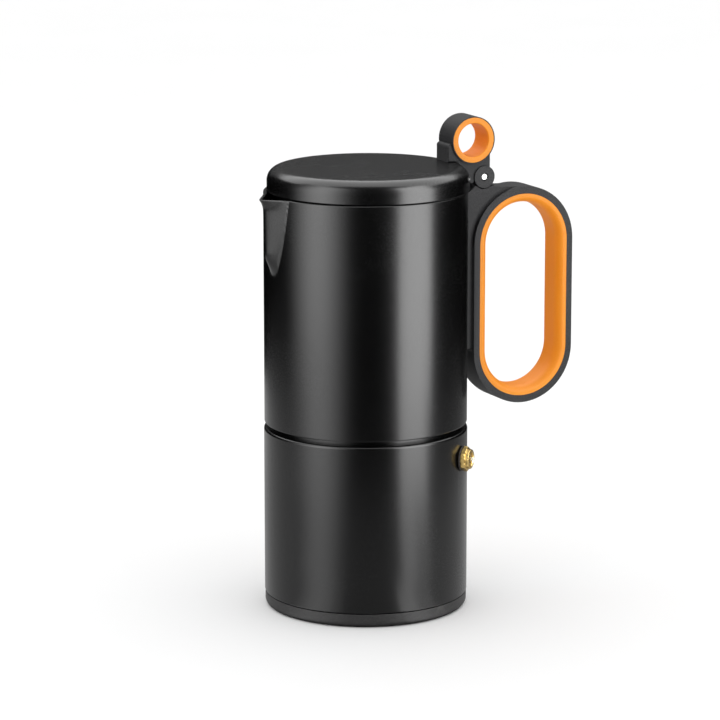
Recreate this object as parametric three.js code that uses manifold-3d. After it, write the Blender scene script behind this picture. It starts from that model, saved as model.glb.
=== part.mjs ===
// A stove-top moka pot with a screwed-on coffee chamber, a hinged lid and a loop handle.
// Millimetres, +Z up. The pot's axis is Z and it stands on z = 0, the handle points to +X
// and the spout to -X. Each mesh in the group is one physical piece.
import * as THREE from "three";
import { mergeVertices } from "three/addons/utils/BufferGeometryUtils.js";
import Module from "manifold-3d";

const wasm = await Module();
wasm.setup();

// ---------------------------------------------------------------- driving dimensions

// Heights of the main levels.
const BASE_HEIGHT = 6.4;
const BOILER_SHOULDER = 81.3;
const NECK_TOP = 92;
const CHAMBER_BOTTOM = 83.5;
const CHAMBER_UNDERSIDE = 96;
const CHAMBER_RIM = 187;
const LID_BOTTOM = 187.2;
const LID_TOP = 197.4;

// Radii of the pot's shells.
const BASE_RADIUS = 45.1;
const BOILER_RADIUS = 45.3;
const BOILER_WALL = 2.2;
const BOILER_FLOOR = 2.6;
const NECK_OUTSIDE = 41.2;
const NECK_INSIDE = 38.5;
const CHAMBER_RADIUS = 45.1;
const CHAMBER_WALL = 1.8;
const SKIRT_INSIDE = 42.8;
const CHAMBER_FLOOR = 2.2;
const LID_RADIUS = 44.7;
const LID_OFFSET = 1.25; // the lid sits this far towards the handle
const LID_WALL = 1.8;
const LID_EDGE = 5.8; // the rounding of the lid's upper edge

// The screw thread between boiler and chamber, right-handed.
const THREAD_PITCH = 3;
const THREAD_BASE_WIDTH = 1.7;
const THREAD_CREST_WIDTH = 0.8;
const THREAD_START = 85.2;
const BOILER_THREAD_CREST = 42.2;
const BOILER_THREAD_TURNS = 1.75;
const CHAMBER_THREAD_CREST = 41.7;
const CHAMBER_THREAD_TURNS = 1.25;

// The spout, a V-shaped beak pressed out of the chamber wall opposite the handle.
const SPOUT_FOOT = 151.5;
const SPOUT_HALF_ANGLE = THREE.MathUtils.degToRad(16.5);
const SPOUT_BULGE = 3.3;
const SPOUT_LEAN = 0.9;
const SPOUT_LIP = 2;
const SPOUT_LIP_HEIGHT = 6;
const SPOUT_NOSE_ANGLE = 0.03; // radians over which the ridge is rounded
const SPOUT_CROWDING = 0.5;

// The loop handle, its bracket and its liner.
const HANDLE_X = 75.1;
const HANDLE_Z = 135;
const HANDLE_HALF_WIDTH = 24.9;
const HANDLE_HALF_HEIGHT = 49.4;
const HANDLE_HALF_THICKNESS = 7.8;
const BRACKET_HALF_THICKNESS = 5.8;
const BRACKET_BOTTOM = 111.8;
const LINER_HALF_WIDTH = 22.1;
const LINER_HALF_HEIGHT = 46.2;
const LINER_BAND = 2.5;
const LINER_BULGE = 2.7;
const WALL_CLEARANCE = 0.25;

// The lid's hinge and the ring that lifts it.
const HINGE_X = 56.1;
const HINGE_Z = 189.7;
const KNUCKLE_RADIUS = 5;
const TONGUE_HALF_WIDTH = 2.6;
const FORK_SLOT_HALF_WIDTH = 2.9;
const PIN_RADIUS = 1.45;
const RING_X = 50;
const RING_Z = 206.7;
const RING_RADIUS = 10.5;
const RING_HALF_THICKNESS = 6.75;
const RING_LINER_RADIUS = 10.1;
const RING_BUSH_RADIUS = 9;
const RING_HOLE_RADIUS = 7.5;
const FOOT_HALF_THICKNESS = 5.8;
const FOOT_LEFT = 37.6;
const FOOT_TOP = 205.5;
const NECK_RIGHT = 59.2;

// The safety valve on the boiler.
const VALVE_ANGLE = THREE.MathUtils.degToRad(-46.5);
const VALVE_HEIGHT = 69.5;
const VALVE_HEX_ACROSS_FLATS = 10;
const VALVE_SHANK_RADIUS = 4;
const VALVE_BORE_RADIUS = 3;
const VALVE_INNER_END = 38.5;
const VALVE_SEAT = 40;
const VALVE_OUTER_END = 49.8;

// The two screws that hold the handle, at these heights.
const HANDLE_SCREW_HEIGHTS = { upper: 171, lower: 125 };
const HANDLE_SCREW_RADIUS = 1.9;
const INSERT_RADIUS = 3.2;
const INSERT_END = 51.2;

// The two screws that hold the lid's arm, side by side.
const LID_SCREW_X = 39.8;
const LID_SCREW_Y = 2.75;
const LID_SCREW_RADIUS = 1.2;
const LID_SCREW_TOP = 201.5;

// Half the length of a cutter that passes right through the handle or the lid's arm.
const THROUGH = 12;

// Sides of round pieces, by size.
const LARGE_SIDES = 40;
const MEDIUM_SIDES = 24;
const SMALL_SIDES = 12;

// ---------------------------------------------------------------- materials

function paint(color, roughness, metalness) {
  return new THREE.MeshStandardMaterial({ color, roughness, metalness });
}

const satinBlack = () => paint(0x1c1c1d, 0.4, 0.5);
const blackPlastic = () => paint(0x2f2f31, 0.65, 0);
const orangePlastic = () => paint(0xf0912f, 0.45, 0);
const brass = () => paint(0xc8a65a, 0.3, 1);
const steel = () => paint(0xc4c6c8, 0.3, 1);
const castAluminium = () => paint(0xb4b6b8, 0.5, 1);
const paleRubber = () => paint(0xe3ddd0, 0.8, 0);
const darkRubber = () => paint(0x3a3530, 0.85, 0);

// ---------------------------------------------------------------- solids

// The closed solid of a geometry, with its shared corners merged and its flat triangles dropped.
function solid(geometry) {
  const bare = geometry.clone();
  bare.deleteAttribute("normal");
  bare.deleteAttribute("uv");
  const merged = mergeVertices(bare, 1e-4);
  const kept = [];
  for (let i = 0; i < merged.index.count; i += 3) {
    const [a, b, c] = [0, 1, 2].map((k) => merged.index.getX(i + k));
    if (a !== b && b !== c && c !== a) kept.push(a, b, c);
  }
  const vertProperties = new Float32Array(merged.attributes.position.array);
  const triVerts = new Uint32Array(kept);
  return new wasm.Manifold(new wasm.Mesh({ numProp: 3, vertProperties, triVerts }));
}

// The geometry of a solid.
function geometryOf(shape) {
  const mesh = shape.getMesh();
  const geometry = new THREE.BufferGeometry();
  geometry.setAttribute("position", new THREE.BufferAttribute(mesh.vertProperties, 3));
  geometry.setIndex(new THREE.BufferAttribute(mesh.triVerts, 1));
  const faceted = geometry.toNonIndexed();
  faceted.computeVertexNormals();
  return faceted;
}

// A turned geometry about +Z. Each point is [radius, height]; the outline closes on the axis
// or on itself.
function turned(points, sides = LARGE_SIDES) {
  const outline = points.map(([radius, height]) => new THREE.Vector2(radius, height));
  const closesOnAxis = outline[0].x === 0 && outline[outline.length - 1].x === 0;
  if (!closesOnAxis) outline.push(outline[0].clone());
  if (THREE.ShapeUtils.isClockWise(outline)) outline.reverse();
  return new THREE.LatheGeometry(outline, sides).rotateX(Math.PI / 2);
}

// Points of an arc from one angle to another, in degrees, for a turned outline.
function arc(radiusAt, heightAt, size, from, to, steps = 3) {
  const points = [];
  for (let i = 0; i <= steps; i += 1) {
    const angle = THREE.MathUtils.degToRad(from + ((to - from) * i) / steps);
    points.push([radiusAt + size * Math.cos(angle), heightAt + size * Math.sin(angle)]);
  }
  return points;
}

// A plate with its outline in the XZ plane and its thickness along Y, centred on Y = 0.
function plate(shape, halfThickness, bevel = 0, curveSegments = 16, bevelSegments = 2) {
  const options = { depth: 2 * (halfThickness - bevel), curveSegments, bevelEnabled: bevel > 0 };
  if (bevel > 0) {
    options.bevelThickness = bevel;
    options.bevelSize = bevel;
    options.bevelOffset = -bevel;
    options.bevelSegments = bevelSegments;
  }
  const geometry = new THREE.ExtrudeGeometry(shape, options);
  return geometry.translate(0, 0, bevel - halfThickness).rotateX(Math.PI / 2);
}

// A polygon through [x, z] corners.
function polygon(corners) {
  return new THREE.Shape(corners.map(([x, z]) => new THREE.Vector2(x, z)));
}

// A circle in the XZ plane.
function disc(x, z, radius) {
  return new THREE.Shape().absarc(x, z, radius, 0, 2 * Math.PI, false);
}

// An upright outline with straight sides and round ends, in the XZ plane.
function obround(x, z, halfWidth, halfHeight) {
  const straight = halfHeight - halfWidth;
  const shape = new THREE.Shape();
  shape.absarc(x, z + straight, halfWidth, 0, Math.PI, false);
  shape.absarc(x, z - straight, halfWidth, Math.PI, 2 * Math.PI, false);
  shape.closePath();
  return shape;
}

// Rods along X, Y and Z, each between two places on that axis.
function rodX(radius, from, to, z, sides = SMALL_SIDES) {
  const rod = new THREE.CylinderGeometry(radius, radius, to - from, sides).rotateZ(-Math.PI / 2);
  return rod.translate((from + to) / 2, 0, z);
}

function rodY(radius, x, z, from, to, sides = SMALL_SIDES) {
  return new THREE.CylinderGeometry(radius, radius, to - from, sides).translate(x, (from + to) / 2, z);
}

function rodZ(radius, x, y, from, to, sides = SMALL_SIDES) {
  const rod = new THREE.CylinderGeometry(radius, radius, to - from, sides).rotateX(Math.PI / 2);
  return rod.translate(x, y, (from + to) / 2);
}

// A box from one corner to the other.
function block([x1, y1, z1], [x2, y2, z2]) {
  const box = new THREE.BoxGeometry(x2 - x1, y2 - y1, z2 - z1);
  return box.translate((x1 + x2) / 2, (y1 + y2) / 2, (z1 + z2) / 2);
}

// A turned piece whose axis is X. Each point is [radius, distance along X].
function turnedAlongX(points, z, sides = MEDIUM_SIDES) {
  return turned(points, sides).rotateY(Math.PI / 2).translate(0, 0, z);
}

// A flat ring about Z.
function ring(inner, outer, bottom, top) {
  return [
    [inner, bottom],
    [outer, bottom],
    [outer, top],
    [inner, top],
  ];
}

// One rib of a screw thread: a straight bar with a wedge section, wrapped round the axis as a
// right-handed helix. The rib narrows to nothing at both ends.
function threadRib({ root, crest, turns, startAngle }) {
  const outward = Math.sign(crest - root);
  const depth = Math.abs(crest - root);
  const sunk = 0.4;
  const section = polygon([
    [-THREAD_BASE_WIDTH / 2, -sunk],
    [THREAD_BASE_WIDTH / 2, -sunk],
    [THREAD_CREST_WIDTH / 2, depth],
    [-THREAD_CREST_WIDTH / 2, depth],
  ]);
  const steps = Math.round(turns * 28);
  const bar = new THREE.ExtrudeGeometry(section, { depth: 1, steps, bevelEnabled: false });
  const place = bar.attributes.position;
  for (let i = 0; i < place.count; i += 1) {
    const along = outward > 0 ? place.getZ(i) : 1 - place.getZ(i);
    const angle = startAngle + along * turns * 2 * Math.PI;
    const taper = Math.min(1, along * 8, (1 - along) * 8);
    const height = place.getY(i) > 0 ? place.getY(i) * Math.max(taper, 0.05) : place.getY(i);
    const radius = root + outward * height;
    const level = THREAD_START + place.getX(i) + along * turns * THREAD_PITCH;
    place.setXYZ(i, radius * Math.cos(angle), radius * Math.sin(angle), level);
  }
  return bar;
}

// ---------------------------------------------------------------- boiler and its base

function inductionBase() {
  const corner = 2.5;
  return turned([
    [0, 0],
    ...arc(BASE_RADIUS - corner, corner, corner, -90, 0),
    [BASE_RADIUS, BASE_HEIGHT - 0.3],
    [BASE_RADIUS - 2, BASE_HEIGHT - 0.3],
    [BASE_RADIUS - 2, BASE_HEIGHT],
    [0, BASE_HEIGHT],
  ]);
}

function boilerShell() {
  const shoulder = 2;
  const inside = BOILER_RADIUS - BOILER_WALL;
  const floor = BASE_HEIGHT + BOILER_FLOOR;
  return turned([
    [0, BASE_HEIGHT],
    [BOILER_RADIUS - 0.5, BASE_HEIGHT],
    [BOILER_RADIUS, BASE_HEIGHT + 0.5],
    ...arc(BOILER_RADIUS - shoulder, BOILER_SHOULDER - shoulder, shoulder, 0, 90),
    [NECK_OUTSIDE, BOILER_SHOULDER],
    [NECK_OUTSIDE, NECK_TOP],
    [NECK_INSIDE, NECK_TOP],
    [NECK_INSIDE, BOILER_SHOULDER - 0.8],
    [inside, BOILER_SHOULDER - 4.3],
    [inside, floor + 2],
    [inside - 2, floor],
    [0, floor],
  ]);
}

function boiler() {
  const thread = threadRib({
    root: NECK_OUTSIDE,
    crest: BOILER_THREAD_CREST,
    turns: BOILER_THREAD_TURNS,
    startAngle: 0,
  });
  const valveHole = rodX(VALVE_SHANK_RADIUS + 0.3, NECK_INSIDE, VALVE_OUTER_END, VALVE_HEIGHT);
  valveHole.rotateZ(VALVE_ANGLE);
  return geometryOf(solid(boilerShell()).add(solid(thread)).subtract(solid(valveHole)));
}

// ---------------------------------------------------------------- safety valve, along +X

function valveBody() {
  const lip = 0.3;
  const sleeve = turnedAlongX(
    [
      [1.5, VALVE_INNER_END],
      [VALVE_SHANK_RADIUS, VALVE_INNER_END],
      [VALVE_SHANK_RADIUS, 46],
      [VALVE_SHANK_RADIUS + 0.4, 46],
      [VALVE_SHANK_RADIUS + 0.4, VALVE_OUTER_END - lip],
      [VALVE_SHANK_RADIUS + 0.4 - lip, VALVE_OUTER_END],
      [VALVE_BORE_RADIUS, VALVE_OUTER_END],
      [VALVE_BORE_RADIUS, VALVE_SEAT],
      [1.5, VALVE_SEAT],
    ],
    VALVE_HEIGHT,
  );
  const corner = VALVE_HEX_ACROSS_FLATS / Math.sqrt(3);
  const hexagon = solid(rodX(corner, 46.3, 48.4, VALVE_HEIGHT, 6));
  const bore = solid(rodX(VALVE_BORE_RADIUS + 0.5, 45, 51, VALVE_HEIGHT, MEDIUM_SIDES));
  return geometryOf(solid(sleeve).add(hexagon.subtract(bore)));
}

function valveWasher() {
  return turnedAlongX(ring(VALVE_SHANK_RADIUS + 0.6, 5.6, 45.55, 46.15), VALVE_HEIGHT);
}

function valveNut() {
  const hexagon = solid(rodX(6.2, 39.4, 42, VALVE_HEIGHT, 6));
  const bore = solid(rodX(VALVE_SHANK_RADIUS + 0.2, 38, 44, VALVE_HEIGHT, MEDIUM_SIDES));
  return geometryOf(hexagon.subtract(bore));
}

function valvePiston() {
  const seatGap = 0.15;
  return turnedAlongX(
    [
      [0, VALVE_SEAT + seatGap],
      [VALVE_BORE_RADIUS - 0.3, VALVE_SEAT + seatGap],
      [VALVE_BORE_RADIUS - 0.3, VALVE_SEAT + 1.3],
      [0.9, VALVE_SEAT + 1.3],
      [0.9, VALVE_OUTER_END + 0.3],
      [0.6, VALVE_OUTER_END + 0.6],
      [0, VALVE_OUTER_END + 0.6],
    ],
    VALVE_HEIGHT,
    SMALL_SIDES,
  );
}

function valveRetainer() {
  return turnedAlongX(ring(1.25, VALVE_BORE_RADIUS - 0.15, 48.6, 49.2), VALVE_HEIGHT, SMALL_SIDES);
}

// A coil from the piston's disc to the retainer.
class CoilCurve extends THREE.Curve {
  constructor(radius, from, to, turns) {
    super();
    Object.assign(this, { radius, from, to, turns });
  }

  getPoint(t, target = new THREE.Vector3()) {
    const angle = 2 * Math.PI * this.turns * t;
    const along = this.from + (this.to - this.from) * t;
    return target.set(along, this.radius * Math.cos(angle), this.radius * Math.sin(angle));
  }
}

function valveSpring() {
  const turns = 5;
  const wire = new THREE.Shape().absarc(0, 0, 0.3, 0, 2 * Math.PI, false);
  const extrudePath = new CoilCurve(1.9, VALVE_SEAT + 1.8, 48.1, turns);
  const options = { steps: turns * 10, curveSegments: 3, bevelEnabled: false, extrudePath };
  return new THREE.ExtrudeGeometry(wire, options).translate(0, 0, VALVE_HEIGHT);
}

// ---------------------------------------------------------------- funnel, gasket and filter plate

const FUNNEL_FLANGE_TOP = NECK_TOP + 0.95;
const BASKET_RADIUS = NECK_INSIDE - 0.4;
const BASKET_LEDGE = 75.2;
const STEM_RADIUS = 5.2;
const STEM_BOTTOM = 13;
const SHEET = 1;

function funnel() {
  return turned([
    [STEM_RADIUS - SHEET, STEM_BOTTOM],
    [STEM_RADIUS, STEM_BOTTOM],
    [STEM_RADIUS, 62],
    [BASKET_RADIUS - 1, 72.8],
    [BASKET_RADIUS, 73.8],
    [BASKET_RADIUS, NECK_TOP + 0.1],
    [NECK_OUTSIDE - 0.4, NECK_TOP + 0.1],
    [NECK_OUTSIDE - 0.4, FUNNEL_FLANGE_TOP],
    [BASKET_RADIUS - SHEET, FUNNEL_FLANGE_TOP],
    [BASKET_RADIUS - SHEET, BASKET_LEDGE],
    [BASKET_RADIUS - 3, BASKET_LEDGE],
    [BASKET_RADIUS - 3, BASKET_LEDGE - 1.4],
    [STEM_RADIUS - SHEET, 63],
  ]);
}

// The corners of a regular polygon.
function circlePoints(x, y, radius, sides) {
  const points = [];
  for (let k = 0; k < sides; k += 1) {
    const angle = (2 * Math.PI * k) / sides;
    points.push(new THREE.Vector2(x + radius * Math.cos(angle), y + radius * Math.sin(angle)));
  }
  return points;
}

// A round plate with rings of small holes.
function perforatedDisc(radius, holeRadius, rings, bottom, thickness) {
  const outline = new THREE.Shape(circlePoints(0, 0, radius, LARGE_SIDES));
  for (let step = 1; step <= rings; step += 1) {
    const circle = (radius * 0.86 * step) / rings;
    const count = step * 6;
    for (let k = 0; k < count; k += 1) {
      const angle = (2 * Math.PI * (k + 0.5 * (step % 2))) / count;
      const [x, y] = [circle * Math.cos(angle), circle * Math.sin(angle)];
      outline.holes.push(new THREE.Path(circlePoints(x, y, holeRadius, 6)));
    }
  }
  const options = { depth: thickness, bevelEnabled: false };
  return new THREE.ExtrudeGeometry(outline, options).translate(0, 0, bottom);
}

function funnelSieve() {
  return perforatedDisc(BASKET_RADIUS - SHEET - 0.2, 1, 2, BASKET_LEDGE + 0.1, 0.7);
}

const GASKET_TOP = CHAMBER_UNDERSIDE - 0.05;
const PLATE_RADIUS = 34.2;

function gasket() {
  return turned([
    [31, FUNNEL_FLANGE_TOP + 0.05],
    [40.6, FUNNEL_FLANGE_TOP + 0.05],
    [40.6, GASKET_TOP],
    [PLATE_RADIUS + 0.3, GASKET_TOP],
    [PLATE_RADIUS + 0.3, GASKET_TOP - 1.05],
    [31, GASKET_TOP - 1.05],
  ]);
}

function filterPlate() {
  return perforatedDisc(PLATE_RADIUS, 1, 2, GASKET_TOP - 0.95, 0.8);
}

// ---------------------------------------------------------------- coffee chamber

function smoothStep(t) {
  const x = THREE.MathUtils.clamp(t, 0, 1);
  return x * x * (3 - 2 * x);
}

// How far the spout's ridge stands out of a wall at one height, without its lip.
function spoutReach(height) {
  const up = height - SPOUT_FOOT;
  if (up <= 0) return 0;
  const bulge = SPOUT_BULGE * smoothStep(up / 11);
  return bulge + (SPOUT_LEAN * up) / (CHAMBER_RIM - SPOUT_FOOT);
}

// The radius of a wall with the spout in it: two flat sides that meet in a rounded ridge, and
// a lip that flares out around the ridge near the rim.
function spoutRadius(wall, height, angleFromRidge) {
  const reach = spoutReach(height);
  const up = (height - SPOUT_FOOT) / (CHAMBER_RIM - SPOUT_FOOT);
  const half = SPOUT_HALF_ANGLE * Math.sqrt(THREE.MathUtils.clamp(up, 0, 1));
  if (reach <= 0 || Math.abs(angleFromRidge) > half) return wall;
  const slope = (wall + reach - wall * Math.cos(half)) / (wall * Math.sin(half));
  const away = Math.hypot(angleFromRidge, SPOUT_NOSE_ANGLE) - SPOUT_NOSE_ANGLE;
  const flat = (wall + reach) / (Math.cos(away) + slope * Math.sin(away));
  const belowRim = CHAMBER_RIM - height;
  const flare = THREE.MathUtils.clamp(1 - belowRim / SPOUT_LIP_HEIGHT, 0, 1) ** 2;
  const lip = SPOUT_LIP * flare * (1 - away / half) ** 2;
  return Math.max(wall, flat + lip);
}

// The chamber's outline turned about the axis, then pressed outwards where the spout is. Its
// corners crowd together towards the spout, where the shape needs them.
function chamberShell() {
  const inside = CHAMBER_RADIUS - CHAMBER_WALL;
  const floorTop = CHAMBER_UNDERSIDE + CHAMBER_FLOOR;
  const levels = [SPOUT_FOOT, 156, 163, 172, CHAMBER_RIM - 5, CHAMBER_RIM - 2.5];
  const shell = turned([
    [6.4, CHAMBER_UNDERSIDE],
    [SKIRT_INSIDE, CHAMBER_UNDERSIDE],
    [SKIRT_INSIDE, CHAMBER_BOTTOM],
    [CHAMBER_RADIUS - 0.5, CHAMBER_BOTTOM],
    [CHAMBER_RADIUS, CHAMBER_BOTTOM + 0.5],
    ...levels.map((height) => [CHAMBER_RADIUS, height]),
    [CHAMBER_RADIUS, CHAMBER_RIM],
    [inside, CHAMBER_RIM],
    ...levels.map((height) => [inside, height]).reverse(),
    [inside, floorTop + 3],
    [inside - 3, floorTop],
    [6.4, floorTop],
  ]);
  const place = shell.attributes.position;
  for (let i = 0; i < place.count; i += 1) {
    const wall = Math.hypot(place.getX(i), place.getY(i));
    const even = Math.atan2(place.getY(i), -place.getX(i));
    const angle = even - SPOUT_CROWDING * Math.sin(even);
    const z = place.getZ(i);
    const radius = wall < inside - 0.01 ? wall : spoutRadius(wall, z, angle);
    const dip = 0.12 * (radius - wall) * smoothStep((z - 180) / 7);
    place.setXYZ(i, -radius * Math.cos(angle), radius * Math.sin(angle), z - dip);
  }
  return shell;
}

function chamber() {
  const thread = threadRib({
    root: SKIRT_INSIDE,
    crest: CHAMBER_THREAD_CREST,
    turns: CHAMBER_THREAD_TURNS,
    startAngle: Math.PI,
  });
  let shell = solid(chamberShell()).add(solid(thread));
  for (const height of Object.values(HANDLE_SCREW_HEIGHTS)) {
    const hole = rodX(HANDLE_SCREW_RADIUS + 0.3, SKIRT_INSIDE - 5, CHAMBER_RADIUS + 5, height);
    shell = shell.subtract(solid(hole));
  }
  return geometryOf(shell);
}

function brewColumn() {
  const seat = CHAMBER_UNDERSIDE + CHAMBER_FLOOR + 0.1;
  const tube = turned(
    [
      [0, 147],
      [3.2, 146],
      [4.4, 100],
      [4.4, CHAMBER_UNDERSIDE + 0.3],
      [6.1, CHAMBER_UNDERSIDE + 0.3],
      [6.1, seat],
      [8.2, seat],
      [8.2, seat + 1],
      [6.6, seat + 2.5],
      [4.9, 146],
      [3.6, 149],
      [0, 150],
    ],
    MEDIUM_SIDES,
  );
  const windows = block([-2, -10, 138], [2, 10, 144.5]);
  return geometryOf(solid(tube).subtract(solid(windows)));
}

// ---------------------------------------------------------------- handle

// The flat bracket between the chamber and the loop, up to the hinge.
function bracketOutline() {
  return polygon([
    [44, BRACKET_BOTTOM],
    [60, BRACKET_BOTTOM],
    [60, 150],
    [HANDLE_X, HANDLE_Z + HANDLE_HALF_HEIGHT],
    [HINGE_X + KNUCKLE_RADIUS, HANDLE_Z + HANDLE_HALF_HEIGHT],
    [HINGE_X + KNUCKLE_RADIUS, HINGE_Z - 3.7],
    [HINGE_X - KNUCKLE_RADIUS, HINGE_Z - 3.7],
    [48.4, 183.3],
    [44, 182.6],
  ]);
}

// The middle knuckle that stands up from the bracket.
function tongue() {
  const foot = block(
    [HINGE_X - KNUCKLE_RADIUS, -TONGUE_HALF_WIDTH, HINGE_Z - 12],
    [HINGE_X + KNUCKLE_RADIUS, TONGUE_HALF_WIDTH, HINGE_Z],
  );
  const knuckle = plate(disc(HINGE_X, HINGE_Z, KNUCKLE_RADIUS), TONGUE_HALF_WIDTH, 0, 8);
  return solid(foot).add(solid(knuckle));
}

function handle() {
  const loop = plate(
    obround(HANDLE_X, HANDLE_Z, HANDLE_HALF_WIDTH, HANDLE_HALF_HEIGHT),
    HANDLE_HALF_THICKNESS,
    0.8,
    12,
    1,
  );
  const opening = plate(obround(HANDLE_X, HANDLE_Z, LINER_HALF_WIDTH, LINER_HALF_HEIGHT), THROUGH, 0, 12);
  const potWall = turned(
    [
      [0, CHAMBER_UNDERSIDE],
      [CHAMBER_RADIUS + WALL_CLEARANCE, CHAMBER_UNDERSIDE],
      [CHAMBER_RADIUS + WALL_CLEARANCE, LID_TOP],
      [0, LID_TOP],
    ],
    LARGE_SIDES,
  );
  let shape = solid(plate(bracketOutline(), BRACKET_HALF_THICKNESS, 0.4, 8, 1));
  for (const side of [-1, 1]) {
    const [from, to] = [side * TONGUE_HALF_WIDTH, side * THROUGH].sort((a, b) => a - b);
    const socket = rodY(KNUCKLE_RADIUS + 0.5, HINGE_X, HINGE_Z, from, to, MEDIUM_SIDES);
    shape = shape.subtract(solid(socket));
  }
  shape = shape.add(solid(loop)).add(tongue());
  shape = shape.subtract(solid(opening)).subtract(solid(potWall));
  shape = shape.subtract(solid(rodY(PIN_RADIUS + 0.15, HINGE_X, HINGE_Z, -THROUGH, THROUGH)));
  for (const height of Object.values(HANDLE_SCREW_HEIGHTS)) {
    shape = shape.subtract(solid(rodX(INSERT_RADIUS + 0.2, NECK_INSIDE, INSERT_END + 0.4, height)));
  }
  return geometryOf(shape);
}

// The liner fills the loop's edge and is rounded towards the fingers.
function handleLiner() {
  const gap = 0.1;
  const round = 5;
  const band = obround(HANDLE_X, HANDLE_Z, LINER_HALF_WIDTH + 1, LINER_HALF_HEIGHT + 1);
  band.holes.push(
    obround(HANDLE_X, HANDLE_Z, LINER_HALF_WIDTH - LINER_BAND, LINER_HALF_HEIGHT - LINER_BAND),
  );
  const options = {
    depth: 2 * (HANDLE_HALF_THICKNESS - round),
    curveSegments: 12,
    bevelThickness: round,
    bevelSize: LINER_BULGE,
    bevelSegments: 3,
  };
  const padded = new THREE.ExtrudeGeometry(band, options);
  padded.translate(0, 0, round - HANDLE_HALF_THICKNESS).rotateX(Math.PI / 2);
  const outside = obround(HANDLE_X, HANDLE_Z, LINER_HALF_WIDTH - gap, LINER_HALF_HEIGHT - gap);
  return geometryOf(solid(padded).intersect(solid(plate(outside, THROUGH, 0, 12))));
}

// A threaded insert moulded into the bracket.
function handleInsert(height) {
  const sleeve = ring(HANDLE_SCREW_RADIUS + 0.15, INSERT_RADIUS, 45.9, INSERT_END);
  return turnedAlongX(sleeve, height, SMALL_SIDES);
}

// A pan-head screw from inside the chamber.
function handleScrew(height) {
  return turnedAlongX(
    [
      [0, 39.8],
      [2.4, 39.8],
      [3.5, 40.8],
      [3.5, 41.9],
      [HANDLE_SCREW_RADIUS, 41.9],
      [HANDLE_SCREW_RADIUS, 50.6],
      [0, 50.6],
    ],
    height,
    SMALL_SIDES,
  );
}

function handleSeal(height) {
  return turnedAlongX(ring(HANDLE_SCREW_RADIUS + 0.15, 3.7, 42, 42.7), height, SMALL_SIDES);
}

function hingePin() {
  const half = BRACKET_HALF_THICKNESS - 0.3;
  return rodY(PIN_RADIUS, HINGE_X, HINGE_Z, -half, half);
}

// ---------------------------------------------------------------- lid and its arm

function lid() {
  const inside = LID_RADIUS - LID_WALL;
  const underside = LID_TOP - LID_WALL;
  const innerCorner = 2;
  const cap = turned([
    [0, underside],
    [inside - innerCorner, underside],
    [inside, underside - innerCorner],
    [inside, LID_BOTTOM],
    [LID_RADIUS - 0.4, LID_BOTTOM],
    [LID_RADIUS, LID_BOTTOM + 0.4],
    ...arc(LID_RADIUS - LID_EDGE, LID_TOP - LID_EDGE, LID_EDGE, 0, 90, 5),
    [0, LID_TOP],
  ]);
  const locatingRing = turned(ring(40.5, 41.7, LID_BOTTOM - 2.4, underside + 0.5));
  const armGap = block([30, -9, 180], [50, 9, underside]);
  let shape = solid(cap).add(solid(locatingRing).subtract(solid(armGap)));
  for (const side of [-1, 1]) {
    const [x, y] = [LID_SCREW_X - LID_OFFSET, side * LID_SCREW_Y];
    const hole = rodZ(LID_SCREW_RADIUS + 0.3, x, y, LID_BOTTOM, FOOT_TOP);
    shape = shape.subtract(solid(hole));
  }
  return geometryOf(shape).translate(LID_OFFSET, 0, 0);
}

// The arm's flat body: a foot that follows the lid's rounded edge, and a neck that drops past
// it to the hinge.
function armOutline() {
  const foot = LID_TOP + 0.05;
  const gap = 0.15;
  const edgeCentre = [LID_OFFSET + LID_RADIUS - LID_EDGE, LID_TOP - LID_EDGE];
  return polygon([
    [FOOT_LEFT, foot],
    [edgeCentre[0] - 1.5, foot],
    ...arc(...edgeCentre, LID_EDGE + gap, 90, 15, 6),
    [HINGE_X - KNUCKLE_RADIUS, HINGE_Z + 1.5],
    [HINGE_X - KNUCKLE_RADIUS, HINGE_Z],
    [HINGE_X + 3.1, HINGE_Z],
    [NECK_RIGHT, RING_Z],
    [RING_X, FOOT_TOP],
    [FOOT_LEFT + 1.5, FOOT_TOP],
    [FOOT_LEFT, FOOT_TOP - 1.5],
  ]);
}

function lidArm() {
  const ears = plate(disc(HINGE_X, HINGE_Z, KNUCKLE_RADIUS), BRACKET_HALF_THICKNESS, 0.3, 10, 1);
  const head = plate(disc(RING_X, RING_Z, RING_RADIUS), RING_HALF_THICKNESS, 0.3, 20, 1);
  const slot = block(
    [HINGE_X - 12, -FORK_SLOT_HALF_WIDTH, HINGE_Z - 8],
    [HINGE_X + 12, FORK_SLOT_HALF_WIDTH, HINGE_Z + KNUCKLE_RADIUS + 0.5],
  );
  const flange = RING_LINER_RADIUS + 0.05;
  const recessDepth = 1.25;
  let shape = solid(plate(armOutline(), FOOT_HALF_THICKNESS, 0.3, 8, 1));
  shape = shape.add(solid(ears)).subtract(solid(slot)).add(solid(head));
  shape = shape.subtract(solid(plate(disc(RING_X, RING_Z, RING_BUSH_RADIUS + 0.05), THROUGH, 0, 12)));
  for (const side of [-1, 1]) {
    const floor = side * (RING_HALF_THICKNESS - recessDepth);
    const [from, to] = [floor, side * THROUGH].sort((a, b) => a - b);
    shape = shape.subtract(solid(rodY(flange, RING_X, RING_Z, from, to, 2 * MEDIUM_SIDES)));
    const bore = [LID_SCREW_X, side * LID_SCREW_Y, LID_BOTTOM, LID_SCREW_TOP + 0.5];
    shape = shape.subtract(solid(rodZ(LID_SCREW_RADIUS + 0.15, ...bore)));
  }
  shape = shape.subtract(solid(rodY(PIN_RADIUS + 0.3, HINGE_X, HINGE_Z, -THROUGH, THROUGH)));
  return geometryOf(shape);
}

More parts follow.
